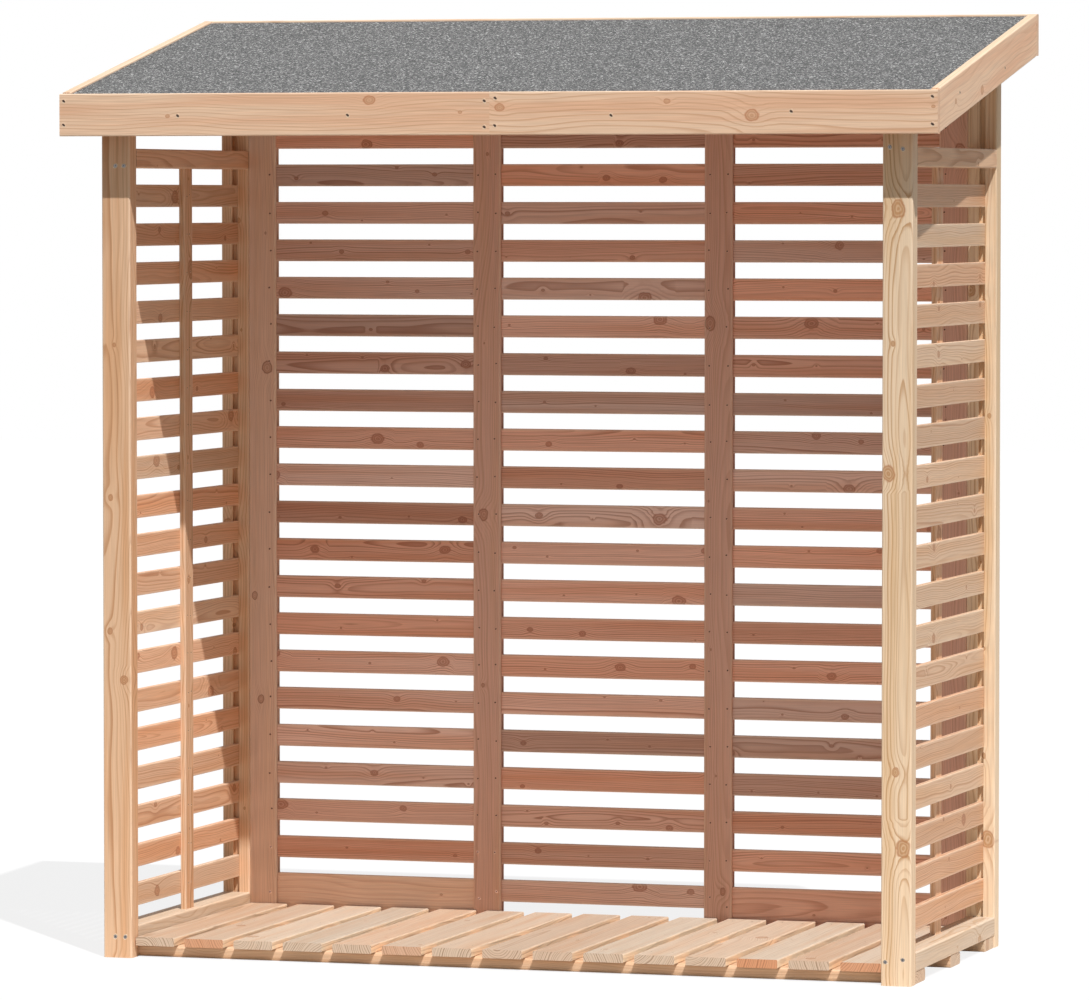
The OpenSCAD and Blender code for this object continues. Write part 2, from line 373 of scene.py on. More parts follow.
tones = {
    "amberFrom": (0.42, 0.72),      # broad noise between these turns from early colour to amber
    "endLate": 0.3,                 # how much stronger the rings are on end grain
    "rim": 0.75,                    # how much of the knot's colour its rim takes
    "inner": 0.75,                  # how much of the late colour mixes into the knot's inside
    "knotRings": (0.25, 0.9),
    "fine": (0.82, 1.18),           # lightness of the fine streaks
    "warmGreen": 0.6,               # green's share of what blue loses where wood is warmer
    # pale colour of the arrises, for wear and painted highlight
    "worn": (0.95, 0.78, 0.6),
    "wearAndHighlightAmount": 0.4,
    "bare": ((0.64, 0.31, 0.165), (0.34, 0.13, 0.055)),         # early and late wood of freshly cut ends
    "silver": ((0.63, 0.49, 0.37), (0.23, 0.135, 0.08)),        # and of greyed ends
    "silverFrom": (0.35, 0.5),
    "silverAmount": 0.8,
}
arris = {"waves": (22.0, 90.0), "edge": (0.3, 1.0), "patchy": (0.3, 1.2)}
boardEdge = 0.0005          # keeps a board's own edge inside its place


# Where a point lies in its own board: boards lie side by side across, one pitch apart.
# number = floor((across - low + boardEdge) / pitch), at most last
# across' = across - low - number * pitch - width / 2
def makeBoardPlace():
    tree, got, put = newGroup(
        "boardPlace",
        {"Along": 0.0, "Across": 0.0, "Through": 0.0, "Middle": 0.0, "Low": 0.0, "Depth": 0.0,
         "Pitch": 1.0, "Width": 0.1, "Last": 0.0, "Seed": 0.0},
        {"Along": 0.0, "Across": 0.0, "Through": 0.0, "Board": 0.0})
    fromLow = minus(tree, got["Across"], got["Low"])
    number = calc(tree, "FLOOR", over(tree, add(tree, fromLow, boardEdge), got["Pitch"]))
    number = calc(tree, "MINIMUM", number, got["Last"])
    inPlace = minus(tree, fromLow, times(tree, number, got["Pitch"]))
    join(tree, put["Along"], minus(tree, got["Along"], got["Middle"]))
    join(tree, put["Across"], minus(tree, inPlace, times(tree, got["Width"], 0.5)))
    join(tree, put["Through"], minus(tree, got["Through"], got["Depth"]))
    join(tree, put["Board"], add(tree, number, got["Seed"]))
    return tree


# Growth rings of a board sawn from a log whose pith wanders beside it.
# radius = distance to the pith + unevenness + swelling round knots, ring = radius / ringWidth + slow drift.
# A ring darkens from LateStart on and ends sharply. Knots are cones through the board, few of them big.
def makeGrain():
    tree, got, put = newGroup(
        "timberGrain",
        {"Along": 0.0, "Across": 0.0, "Through": 0.0, "Board": 0.0, "RingWidth": 0.004, "LateStart": 0.4,
         "PithDepth": 0.05, "PithSide": 0.06, "Wander": 0.02, "HalfWidth": 0.03, "KnotSpacing": 0.5,
         "KnotSize": 0.01},
        {"Late": 0.0, "Knot": 0.0, "KnotRim": 0.0, "Streak": 0.0, "Broad": 0.0, "Tone": 0.0, "Warmth": 0.0,
         "Greyness": 0.0})
    along, across, through, board = (got[n] for n in ("Along", "Across", "Through", "Board"))
    sideDice, depthDice, signDice = dice(tree, board, 3.7, 0.5)
    toneDice, warmDice, greyDice = dice(tree, board, 9.2, 2.5)
    shift = times(tree, board, growth["apart"])
    spot = (along, across, through, shift)

    # the pith: its random place, and how it bends sideways and bows in depth
    side = times(tree, minus(tree, sideDice, 0.5), times(tree, got["PithSide"], 2.0))
    bend = ripple(tree, timesPlus(tree, along, growth["bendWaves"], shift), 2.0)
    side = timesPlus(tree, minus(tree, bend, 0.5), got["Wander"], side)
    depth = times(tree, add(tree, depthDice, growth["nearest"]), got["PithDepth"])
    depth = times(tree, depth, calc(tree, "SIGN", minus(tree, signDice, 0.5)))
    bowShift = add(tree, shift, growth["bowApart"])
    bow = ripple(tree, timesPlus(tree, along, growth["bowWaves"], bowShift), 2.0)
    depth = timesPlus(tree, minus(tree, bow, 0.5), got["Wander"], depth)
    radius = length(tree, minus(tree, across, side), minus(tree, through, depth))
    uneven = minus(tree, grainCloud(tree, *spot, *growth["uneven"]), 0.5)
    radius = timesPlus(tree, uneven, times(tree, got["RingWidth"], growth["unevenness"]), radius)

    # knots: one cell of a row of random points for each knot, which fades out towards the cell's border
    row = timesPlus(tree, board, knots["apart"], over(tree, along, got["KnotSpacing"]))
    cells = rowOfCells(tree, row)
    border = rowOfCells(tree, row, "DISTANCE_TO_EDGE")
    inside = rise(tree, border["Distance"], 0.0, knots["fade"])
    inside = calc(tree, "MAXIMUM", inside, knots["least"])
    acrossDice, sizeDice, thereDice = parts(tree, cells["Color"])
    knotAlong = times(tree, cells["Distance"], times(tree, got["KnotSpacing"], knots["stretch"]))
    knotReach = times(tree, got["HalfWidth"], knots["reach"])
    knotAcross = minus(tree, across, times(tree, minus(tree, acrossDice, 0.5), knotReach))
    sizeDice = calc(tree, "POWER", sizeDice, knots["rarity"])
    knotSize = timesPlus(tree, sizeDice, knots["range"], knots["smallest"])
    knotSize = times(tree, knotSize, rise(tree, thereDice, *knots["missing"]))
    knotSize = calc(tree, "MAXIMUM", times(tree, knotSize, got["KnotSize"]), knots["tiniest"])
    wobblePlace = vector(tree, times(tree, along, knots["waves"]), times(tree, across, knots["waves"]), shift)
    wobble = minus(tree, cloud(tree, wobblePlace, 1.0, 1.0).outputs[0], 0.5)
    away = over(tree, length(tree, knotAlong, knotAcross), knotSize)
    away = over(tree, timesPlus(tree, wobble, knots["wobble"], away), inside)
    knot = fall(tree, away, *knots["edge"])
    rim = times(tree, rise(tree, away, *knots["rimIn"]), fall(tree, away, *knots["rimOut"]))
    swell = calc(tree, "EXPONENT", times(tree, times(tree, away, away), -knots["swellFall"]))
    radius = timesPlus(tree, swell, times(tree, knotSize, knots["swell"]), radius)

    # rings: late wood at the end of each, of its own strength, and the knots' own rings in its place
    phase = over(tree, radius, got["RingWidth"])
    years = ripple(tree, timesPlus(tree, phase, growth["yearPace"], shift), 1.0)
    phase = timesPlus(tree, minus(tree, years, 0.5), growth["yearDrift"], phase)
    inRing = calc(tree, "FRACT", phase)
    late = times(tree, rise(tree, inRing, got["LateStart"], growth["lateFull"]),
                 fall(tree, inRing, growth["lateEnd"], 1.0))
    strength = dice(tree, calc(tree, "FLOOR", phase), board, 7.7)[0]
    late = times(tree, late, spread(tree, strength, growth["faintest"], 1.0))
    wave = calc(tree, "SINE", times(tree, away, knots["rings"]))
    knotRing = timesPlus(tree, wave, *knots["ringTone"])
    late = add(tree, times(tree, late, minus(tree, 1.0, knot)), times(tree, knotRing, knot))
    for label, value in {"Late": late, "Knot": knot, "KnotRim": rim, "Tone": toneDice, "Warmth": warmDice,
                         "Greyness": greyDice, "Streak": grainCloud(tree, *spot, *growth["streaks"]),
                         "Broad": grainCloud(tree, *spot, *growth["broad"])}.items():
        join(tree, put[label], value)
    return tree


# Early wood darkened by late wood, warmed by broad streaks, with knots and pale arrises, which are wear and
# painted highlight. Lighter board sides are painted light for the sun falling on them. End grain keeps its
# rings; most ends have greyed, bare ones glow.
def makeTimberColour():
    tree, got, put = newGroup(
        "timberColour",
        {"Late": 0.0, "Knot": 0.0, "KnotRim": 0.0, "Streak": 0.5, "Broad": 0.5, "Tone": 0.5, "Warmth": 0.5,
         "Greyness": 0.0, "Wear": 0.0, "End": 0.0, "Side": 0.0, "Bare": 0.0, "Early": "Color",
         "LateColour": "Color", "Amber": "Color", "KnotColour": "Color", "Fresh": "Color",
         "LateAmount": 0.8, "AmberAmount": 0.5, "ToneRange": 0.25, "WarmRange": 0.2},
        {"Color": "Color"})
    amber = times(tree, rise(tree, got["Broad"], *tones["amberFrom"]), got["AmberAmount"])
    colour = blendColour(tree, amber, got["Early"], got["Amber"])
    # board sides take a lighter colour: painted light for the sun falling on them
    colour = blendColour(tree, got["Side"], colour, got["Fresh"])
    lateness = times(tree, got["Late"], timesPlus(tree, got["End"], tones["endLate"], got["LateAmount"]))
    colour = blendColour(tree, lateness, colour, got["LateColour"])
    colour = blendColour(tree, times(tree, got["KnotRim"], tones["rim"]), colour, got["KnotColour"])
    inner = blendColour(tree, tones["inner"], got["KnotColour"], got["LateColour"])
    knotAmount = times(tree, got["Knot"], spread(tree, got["Late"], *tones["knotRings"]))
    colour = blendColour(tree, knotAmount, colour, inner)
    tone = timesPlus(tree, minus(tree, got["Tone"], 0.5), got["ToneRange"], 1.0)
    shade = times(tree, spread(tree, got["Streak"], *tones["fine"]), tone)
    warm = times(tree, minus(tree, got["Warmth"], 0.5), got["WarmRange"])
    green = times(tree, shade, timesPlus(tree, warm, -tones["warmGreen"], 1.0))
    blue = times(tree, shade, minus(tree, 1.0, warm))
    colour = blendColour(tree, 1.0, colour, vector(tree, shade, green, blue), "MULTIPLY")
    # pale arrises: wear and painted highlight
    colour = blendColour(tree, times(tree, got["Wear"], tones["wearAndHighlightAmount"]), colour, tones["worn"])
    bare = blendColour(tree, got["Late"], *tones["bare"])
    colour = blendColour(tree, times(tree, got["End"], got["Bare"]), colour, bare)
    silver = blendColour(tree, got["Late"], *tones["silver"])
    silvered = times(tree, rise(tree, got["Greyness"], *tones["silverFrom"]), tones["silverAmount"])
    colour = blendColour(tree, times(tree, got["End"], silvered), colour, silver)
    join(tree, put["Color"], colour)
    return tree


# 1 on the rounded arrises of a board, 0 on its faces: by the two distances to its sides. It places wear and
# painted highlight.
def makeArrisWear():
    tree, got, put = newGroup("arrisWear", {"Along": 0.0, "Across": 0.0, "Through": 0.0, "HalfWidth": 0.03,
                                            "HalfThickness": 0.01, "Reach": 0.005}, {"Mask": 0.0})
    a = minus(tree, got["HalfWidth"], calc(tree, "ABSOLUTE", got["Across"]))
    b = minus(tree, got["HalfThickness"], calc(tree, "ABSOLUTE", got["Through"]))
    patchy = grainCloud(tree, got["Along"], got["Across"], got["Through"], 0.0, *arris["waves"])
    near = fall(tree, over(tree, add(tree, a, b), got["Reach"]), *arris["edge"])
    join(tree, put["Mask"], times(tree, near, spread(tree, patchy, *arris["patchy"])))
    return tree


makeCamera(camera)
makeLights(light)
makeGround(ground)
boardPlace = makeBoardPlace()
grain = makeGrain()
timberColour = makeTimberColour()
arrisWear = makeArrisWear()
print("camera, lights, floor and shared effects made")

# timber: what each sort of board looks like

# what most looks have in common; a look adds its colours and what differs
usual = {
    "lateAmount": 0.6,      # how much late wood darkens
    "amberAmount": 0.5,     # how much broad streaks turn amber
    "toneRange": 0.08,      # how far boards differ in lightness
    "warmRange": 0.08,      # and in warmth
    "ringWidth": 0.0055,
    "lateStart": 0.4,       # share of a ring before its late wood
    "pithDepth": 0.06,      # how deep the pith can lie
    "pithSide": 0.035,      # how far sideways
    "wander": 0.04,         # and how far it bends
    "knotSpacing": 0.3,
    "knotSize": 0.012,
}
timber = {
    "fascia": {**usual, "early": (0.86, 0.605, 0.42), "late": (0.61, 0.34, 0.19),
               "amber": (0.8, 0.475, 0.3), "knot": (0.5, 0.19, 0.08), "lateAmount": 0.75,
               "amberAmount": 0.8, "ringWidth": 0.0074, "lateStart": 0.6, "pithDepth": 0.09,
               "pithSide": 0.11, "wander": 0.045, "knotSpacing": 0.34, "knotSize": 0.016},
    "leftPost": {**usual, "early": (0.765, 0.5, 0.315), "late": (0.49, 0.235, 0.105),
                 "amber": (0.68, 0.36, 0.175), "knot": (0.4, 0.16, 0.06), "lateAmount": 0.85,
                 "amberAmount": 0.7, "ringWidth": 0.0062, "lateStart": 0.5, "pithDepth": 0.05,
                 "pithSide": 0.05, "wander": 0.05, "knotSize": 0.014},
    "rightPost": {**usual, "early": (0.84, 0.655, 0.46), "late": (0.51, 0.28, 0.125),
                  "amber": (0.73, 0.495, 0.275), "knot": (0.44, 0.19, 0.075), "lateAmount": 0.9,
                  "amberAmount": 0.7, "ringWidth": 0.0062, "lateStart": 0.5, "pithDepth": 0.045,
                  "knotSpacing": 0.25},
    "rail": {**usual, "early": (0.67, 0.52, 0.385), "late": (0.5, 0.31, 0.165), "amber": (0.62, 0.43, 0.27),
             "knot": (0.42, 0.19, 0.08), "lateAmount": 0.7, "amberAmount": 0.6, "ringWidth": 0.006,
             "lateStart": 0.5, "pithDepth": 0.045},
    "leftSlat": {**usual, "early": (0.785, 0.5, 0.325), "late": (0.49, 0.21, 0.1),
                 "amber": (0.725, 0.385, 0.205), "knot": (0.36, 0.13, 0.06), "lateAmount": 0.8,
                 "amberAmount": 0.6, "toneRange": 0.2, "warmRange": 0.45, "ringWidth": 0.0038,
                 "lateStart": 0.35, "pithDepth": 0.04, "pithSide": 0.07, "knotSize": 0.011},
    "rightSlat": {**usual, "early": (0.7, 0.46, 0.3), "late": (0.45, 0.205, 0.1),
                  "amber": (0.66, 0.375, 0.2), "knot": (0.36, 0.13, 0.06), "lateAmount": 0.8,
                  "amberAmount": 0.6, "toneRange": 0.18, "warmRange": 0.4, "ringWidth": 0.0038,
                  "lateStart": 0.35, "pithDepth": 0.04, "pithSide": 0.075, "wander": 0.038,
                  "knotSpacing": 0.35, "knotSize": 0.011},
    "backSlat": {**usual, "early": (0.8, 0.5, 0.395), "late": (0.44, 0.19, 0.12),
                 "amber": (0.735, 0.395, 0.275), "knot": (0.38, 0.135, 0.08), "lateAmount": 0.9,
                 "amberAmount": 0.9, "toneRange": 0.5, "warmRange": 0.5, "ringWidth": 0.0036,
                 "lateStart": 0.35, "pithDepth": 0.045, "pithSide": 0.085, "wander": 0.032,
                 "knotSpacing": 0.16, "knotSize": 0.0095},
    "footBoard": {**usual, "early": (0.85, 0.52, 0.4), "late": (0.58, 0.27, 0.18),
                  "amber": (0.8, 0.46, 0.32), "knot": (0.32, 0.11, 0.06), "lateAmount": 0.7,
                  "toneRange": 0.1, "warmRange": 0.1, "pithSide": 0.08, "wander": 0.05,
                  "knotSpacing": 0.25},
    # a lighter copy of the foot board: painted light for the brighter left end of the back wall
    "paintedLitFootBoard": {**usual, "early": (0.93, 0.67, 0.52), "late": (0.7, 0.39, 0.26),
                  "amber": (0.9, 0.61, 0.44), "knot": (0.36, 0.13, 0.07), "toneRange": 0.1,
                  "warmRange": 0.1, "pithSide": 0.08, "knotSpacing": 0.25},
    "stile": {**usual, "early": (0.71, 0.43, 0.33), "late": (0.47, 0.22, 0.14), "amber": (0.68, 0.4, 0.26),
              "knot": (0.3, 0.1, 0.05), "toneRange": 0.1, "warmRange": 0.15, "ringWidth": 0.0028,
              "lateStart": 0.3, "pithDepth": 0.08, "pithSide": 0.09, "wander": 0.03, "knotSpacing": 0.4,
              "knotSize": 0.01},
    # a lighter copy of the stile: painted light for the brighter left end of the back wall
    "paintedLitStile": {**usual, "early": (0.86, 0.58, 0.435), "late": (0.59, 0.32, 0.21),
                  "amber": (0.83, 0.54, 0.355), "knot": (0.28, 0.09, 0.05), "toneRange": 0.1,
                  "warmRange": 0.1, "ringWidth": 0.003, "lateStart": 0.3, "pithDepth": 0.08,
                  "pithSide": 0.09, "wander": 0.03, "knotSpacing": 0.35},
    "floor": {**usual, "early": (0.61, 0.49, 0.375), "late": (0.45, 0.28, 0.17),
              "amber": (0.595, 0.415, 0.28), "knot": (0.36, 0.16, 0.08), "lateAmount": 0.75,
              "amberAmount": 0.85, "toneRange": 0.16, "warmRange": 0.25, "ringWidth": 0.0052,
              "pithDepth": 0.05, "pithSide": 0.17, "wander": 0.03, "knotSpacing": 0.4, "knotSize": 0.011,
              # its lighter board sides are painted light for the sun on them
              "litSide": (0.92, 0.7, 0.48)},
    "bearer": {**usual, "early": (0.7, 0.5, 0.335), "late": (0.5, 0.285, 0.165),
               "amber": (0.66, 0.41, 0.24), "knot": (0.36, 0.15, 0.07), "amberAmount": 0.6,
               "toneRange": 0.12, "warmRange": 0.2, "pithSide": 0.06, "knotSpacing": 0.35},
    "roof": {**usual, "early": (0.66, 0.46, 0.3), "late": (0.46, 0.24, 0.13), "amber": (0.62, 0.38, 0.21),
             "knot": (0.32, 0.13, 0.065), "lateAmount": 0.65, "toneRange": 0.16, "warmRange": 0.2,
             "ringWidth": 0.0048, "pithSide": 0.06, "knotSize": 0.013},
}
passedOn = ("Late", "Knot", "KnotRim", "Streak", "Broad", "Tone", "Warmth")     # from the grain to the colour
ringValues = ("RingWidth", "LateStart", "PithDepth", "PithSide", "Wander", "KnotSpacing", "KnotSize")
toneValues = ("LateAmount", "AmberAmount", "ToneRange", "WarmRange")
surface = {
    "rough": (0.52, 0.72),
    "relief": 0.0004,
    "reliefStrength": 0.6,
    "shine": 0.3,
    "arrisReach": 0.006,
    "endFacing": (0.8, 0.95),       # how far a face must point along the board to be end grain
    "sideFacing": (0.7, 0.95),      # and across it to be a side
}


# Lowest and highest corner of a node after turning it by -tilt about X:
# y' = y cos + z sin, z' = z cos - y sin
def nodeSpan(name, tilt=0.0):
    mesh = nodes[name].data
    points = np.empty(len(mesh.vertices) * 3)
    mesh.vertices.foreach_get("co", points)
    x, y, z = points.reshape(-1, 3).T
    turned = np.stack([x, y * math.cos(tilt) + z * math.sin(tilt), z * math.cos(tilt) - y * math.sin(tilt)])
    return turned.min(1), turned.max(1)


# A look's settings under the names of the sockets that take them.
def bySocket(look, names):
    return {name: look[name[0].lower() + name[1:]] for name in names}


# How bare each board's ends are: the amounts of those listed, 0 for the others.
def bareness(tree, board, seed, bareEnds):
    bare = 0.0
    for number, amount in bareEnds:
        listed = calc(tree, "COMPARE", board, float(seed + number), 0.4)
        bare = add(tree, bare, times(tree, listed, amount))
    return bare


# Wood for one node. axes names the axes along, across and through its boards; count boards of one width
# lie side by side across, so pitch = (span - width) / (count - 1) where it isn't given. cut is what the
# first board lacks of its width. bareEnds lists boards whose ends haven't greyed, each with how bare it
# is; without it the boards' own random numbers tell how grey their ends are.
def timberMaterial(name, look, seed, axes, count=1, width=None, tilt=0.0, bareEnds=(), pitch=None, cut=0.0):
    values = timber[look]
    low, high = nodeSpan(name, tilt)
    along, across, through = ("xyz".index(a) for a in axes)
    span = high - low
    middle = (low + high) / 2
    width = float(width or span[across])
    if pitch is None:
        pitch = float(span[across] - width) / (count - 1) if count > 1 else 1.0
    material, tree, shader = newMaterial(name)
    where = tree.nodes.new("ShaderNodeTexCoord")
    turn = tree.nodes.new("ShaderNodeMapping")
    turn.inputs["Rotation"].default_value = (-tilt, 0, 0)
    join(tree, turn.inputs["Vector"], where.outputs["Object"])
    xyz = parts(tree, turn.outputs[0])
    spot = place(tree, boardPlace, Along=xyz[along], Across=xyz[across], Through=xyz[through],
                 Middle=float(middle[along]), Low=float(low[across] - cut), Depth=float(middle[through]),
                 Pitch=pitch, Width=width, Last=float(count - 1), Seed=float(seed))
    local = {label: spot[label] for label in ("Along", "Across", "Through")}
    rings = place(tree, grain, Board=spot["Board"], HalfWidth=width / 2, **local,
                  **bySocket(values, ringValues))
    wearAndHighlight = place(tree, arrisWear, HalfWidth=width / 2, HalfThickness=float(span[through]) / 2,
                 Reach=surface["arrisReach"], **local)
    bare = bareness(tree, spot["Board"], seed, bareEnds)
    greyness = minus(tree, 1.0, bare) if bareEnds else rings["Greyness"]
    facing = tree.nodes.new("ShaderNodeVectorRotate")
    facing.rotation_type = "X_AXIS"
    facing.inputs["Angle"].default_value = -tilt
    join(tree, facing.inputs["Vector"], where.outputs["Normal"])
    normal = parts(tree, facing.outputs[0])
    end = rise(tree, calc(tree, "ABSOLUTE", normal[along]), *surface["endFacing"])
    side = 0.0
    # the sides' lighter colour is painted light for the sun on them
    if "litSide" in values:
        side = rise(tree, calc(tree, "ABSOLUTE", normal[across]), *surface["sideFacing"])
    passed = {label: rings[label] for label in passedOn}
    colour = place(tree, timberColour, Early=values["early"], LateColour=values["late"],
                   Amber=values["amber"], KnotColour=values["knot"], Side=side, End=end, Bare=bare,
                   Fresh=values.get("litSide", values["early"]), Greyness=greyness, Wear=wearAndHighlight["Mask"],
                   **bySocket(values, toneValues), **passed)
    shader.inputs["Specular IOR Level"].default_value = surface["shine"]
    finish(tree, shader, colour["Color"], spread(tree, rings["Streak"], *surface["rough"]),
           rings["Streak"], surface["relief"], surface["reliefStrength"])
    nodes[name].material_slots[0].material = material


# how a node's boards lie; the back wall has a place more than slats, which its head board takes, and its
# top slat sits higher than the row
slatHeight = 0.053
slatPitch = 0.091
floorBoard = 0.095
roofPitch = math.radians(11.3)
alone = {}
sloping = {"tilt": roofPitch}
sideSlats = {"count": 19, "width": slatHeight}
outerBay = {"count": 21, "width": slatHeight, "pitch": slatPitch}
middleBay = {"count": 22, "width": slatHeight, "pitch": slatPitch}
deck = {"count": 15, "width": floorBoard,
        "bareEnds": ((1, 0.8), (5, 0.6), (7, 0.5), (8, 0.35), (12, 1.0), (14, 0.9))}
rafters = {"count": 3, "width": 0.045, "tilt": roofPitch}
roofBoards = {"count": 9, "width": 0.1097, "pitch": 0.1117, "cut": 0.0204, "tilt": roofPitch}

# each node: look, seed, axes along, across and through its boards, and how they lie
boards = {
    "front_left_post": ("leftPost", 3, "zxy", alone),
    "front_right_post": ("rightPost", 8, "zxy", alone),
    "rear_left_post": ("leftPost", 21, "zxy", alone),
    "rear_right_post": ("rightPost", 26, "zxy", alone),
    "left_bottom_rail": ("rail", 31, "yxz", alone),
    "right_bottom_rail": ("rail", 33, "yzx", alone),
    "left_top_rail": ("leftSlat", 35, "yzx", alone),
    "right_top_rail": ("leftPost", 37, "yzx", alone),
    "left_wall_slats": ("leftSlat", 100, "yzx", sideSlats),
    "right_wall_slats": ("rightSlat", 140, "yzx", sideSlats),
    "left_centre_batten": ("leftPost", 41, "zyx", alone),
    "right_centre_batten": ("leftPost", 43, "zyx", alone),
    # the outer left stile and the left foot board take lighter copies: painted light
    "back_outer_left_stile": ("paintedLitStile", 51, "zxy", alone),
    "back_inner_left_stile": ("stile", 53, "zxy", alone),
    "back_inner_right_stile": ("stile", 55, "zxy", alone),
    "back_outer_right_stile": ("stile", 57, "zxy", alone),
    "back_left_slats": ("backSlat", 200, "xzy", outerBay),
    "back_middle_slats": ("backSlat", 240, "xzy", middleBay),
    "back_right_slats": ("backSlat", 280, "xzy", outerBay),
    # painted light: a lighter copy of the foot board
    "back_left_foot_board": ("paintedLitFootBoard", 61, "xzy", alone),
    "back_right_foot_board": ("footBoard", 63, "xzy", alone),
    "back_left_head_board": ("backSlat", 65, "xzy", alone),
    "back_middle_head_board": ("backSlat", 67, "xzy", alone),
    "back_right_head_board": ("backSlat", 69, "xzy", alone),
    "front_beam": ("roof", 71, "xzy", alone),
    "rear_beam": ("roof", 73, "xzy", alone),
    "front_bearer": ("bearer", 75, "xyz", alone),
    "middle_bearer": ("bearer", 77, "xyz", alone),
    "rear_bearer": ("bearer", 79, "xyz", alone),
    "floor_deck": ("floor", 320, "yxz", deck),
    "outer_left_rafter": ("roof", 81, "yxz", sloping),
    "inner_rafters": ("roof", 83, "yxz", rafters),
    "outer_right_rafter": ("roof", 87, "yxz", sloping),
    "roof_boards": ("roof", 360, "xyz", roofBoards),
    "front_fascia_left": ("fascia", 91, "xzy", alone),
    "front_fascia_right": ("fascia", 94, "xzy", alone),
    "left_fascia": ("fascia", 96, "yzx", sloping),
    "right_fascia": ("fascia", 98, "yzx", sloping),
    "rear_fascia": ("fascia", 99, "xzy", alone),
}
for name, (look, seed, axes, lie) in boards.items():
    timberMaterial(name, look, seed, axes, **lie)
print("timber:", len(boards), "materials")

# roof felt: mineral granules on bitumen

felt = {
    "dark": (0.024, 0.024, 0.025),
    "middle": (0.12, 0.12, 0.119),
    "light": (0.61, 0.605, 0.59),
    "middleFrom": (0.1, 0.5),       # picks between these turn from dark to middle
    "lightFrom": (0.78, 1.05),      # and from middle to light
    "granule": 0.0028,
    "clump": 0.007,
    "clumping": 1.1,                # how much clumps sway the pick
    "patch": 0.05,
    "patchTone": (0.85, 1.15),
    "rough": (0.6, 0.9),
    "relief": 0.0014,
}


# Granules are cells: each takes a dark, middle or light grey by its own random number.
def feltMaterial(values):
    material, tree, shader = newMaterial("mineral felt")
    where = tree.nodes.new("ShaderNodeTexCoord").outputs["Object"]
    cells = tree.nodes.new("ShaderNodeTexVoronoi")
    feed(tree, cells, {"Vector": where, "Scale": 1 / values["granule"]})
    number, other = parts(tree, cells.outputs["Color"])[:2]
    clumps = cloud(tree, where, 1 / values["clump"], 2.0).outputs[0]
    patches = cloud(tree, where, 1 / values["patch"], 3.0).outputs[0]
    pick = add(tree, number, times(tree, minus(tree, clumps, 0.5), values["clumping"]))
    colour = blendColour(tree, rise(tree, pick, *values["middleFrom"]), values["dark"], values["middle"])
    colour = blendColour(tree, rise(tree, pick, *values["lightFrom"]), colour, values["light"])
    patchTone = spread(tree, patches, *values["patchTone"])
    colour = blendColour(tree, 1.0, colour, vector(tree, patchTone, patchTone, patchTone), "MULTIPLY")
    finish(tree, shader, colour, spread(tree, other, *values["rough"]), pick, values["relief"])
    return material


nodes["roof_felt"].material_slots[0].material = feltMaterial(felt)
print("felt made")

# screws, nails and pins: round grids of points, one on each spot

screws = {
    "radius": 0.004,
    "proud": 0.0008,
    "dome": 0.00015,
    "slotHalf": 0.00055,
    "slotReach": 0.0023,
    "slotDepth": 0.0006,
    "slotEdge": 0.00025,
    "even": (0.03, 0.9),            # from the innermost ring to where the rim starts, in radii
    "rim": ((0.96, 0.5), (0.99, 0.2), (1.0, -0.4)),     # shares of the radius and of proud
    "rings": 20,
    "segments": 48,
    "turn": 1.5,                    # most that a head is turned
    "metal": (0.30, 0.29, 0.285),
    # dark colour of dirt and of the painted shade in the recess's arms
    "dirtAndShade": (0.06, 0.052, 0.048),
    "armSide": (1.4, 0.8),          # where an arm of the cross gets dark, in half widths of the slot
    "armEnd": (0.62, 0.55),         # and in radii
    # strength of the painted shade in the arms of the recess
    "armShade": 0.9,
    "dirtWaves": 900.0,
    "dirtFrom": (0.55, 0.75),
    "rough": (0.25, 0.55),
    "metallic": 0.9,
}
splinters = {
    "inner": 0.0036,
    "outer": 0.0062,
    "ragged": 0.35,
    "proud": 0.00018,
    "profile": ((0.0, 0.4), (0.15, 1.0), (0.5, 0.6), (0.8, 0.3), (1.0, -1.0)),      # from inner to outer
    "segments": 40,
}
craterProfile = ((0.1, 0.15), (0.35, 0.12), (0.55, 0.3), (0.65, 0.85), (0.75, 1.0), (0.88, 0.5), (1.0, -0.6))
nailMarks = {"radius": 0.0058, "proud": 0.0003, "segments": 28, "ragged": 0.3}
pins = {"radius": 0.0034, "proud": 0.0002, "segments": 16, "ragged": 0.3}
facings = {                         # across and out
    "front": ((1, 0, 0), (0, -1, 0)),
    "rear": ((-1, 0, 0), (0, 1, 0)),
    "right": ((0, 1, 0), (1, 0, 0)),
    "left": ((0, -1, 0), (-1, 0, 0)),
    "top": ((1, 0, 0), (0, 0, 1)),
}
# wood colour, hole colour (painted shade) and lower lip colour (painted light); the hole's half length and
# half width in radii of the mark, and its slant
wounds = {
    "splintered wood": ((0.80, 0.62, 0.44), (0.30, 0.2, 0.13), (0.88, 0.75, 0.6), 0.62, 0.6, 0.0),
    "nailed fascia": (timber["fascia"]["early"], (0.045, 0.02, 0.012), (0.86, 0.66, 0.48), 0.62, 0.4, -0.55),
    "pinned stile": (timber["stile"]["early"], (0.09, 0.03, 0.02), (0.80, 0.5, 0.36), 0.5, 0.42, 0.4),
    "pinned batten": (timber["leftPost"]["early"], (0.12, 0.05, 0.03), (0.82, 0.62, 0.44), 0.45, 0.4, 0.4),
    "pinned floor": (timber["floor"]["early"], (0.10, 0.055, 0.035), (0.8, 0.66, 0.5), 0.45, 0.4, 0.4),
}
tear = {
    "waves": 700.0,
    "wobble": 0.5,
    "holeEdge": (0.75, 1.1),
    "lipDepth": 0.45,
    "lipEdge": (1.4, 2.2),
    "stain": (0.55, 0.7),
    "stainTone": 0.7,
    "rough": (0.6, 0.8),
}
random = np.random.default_rng(7)


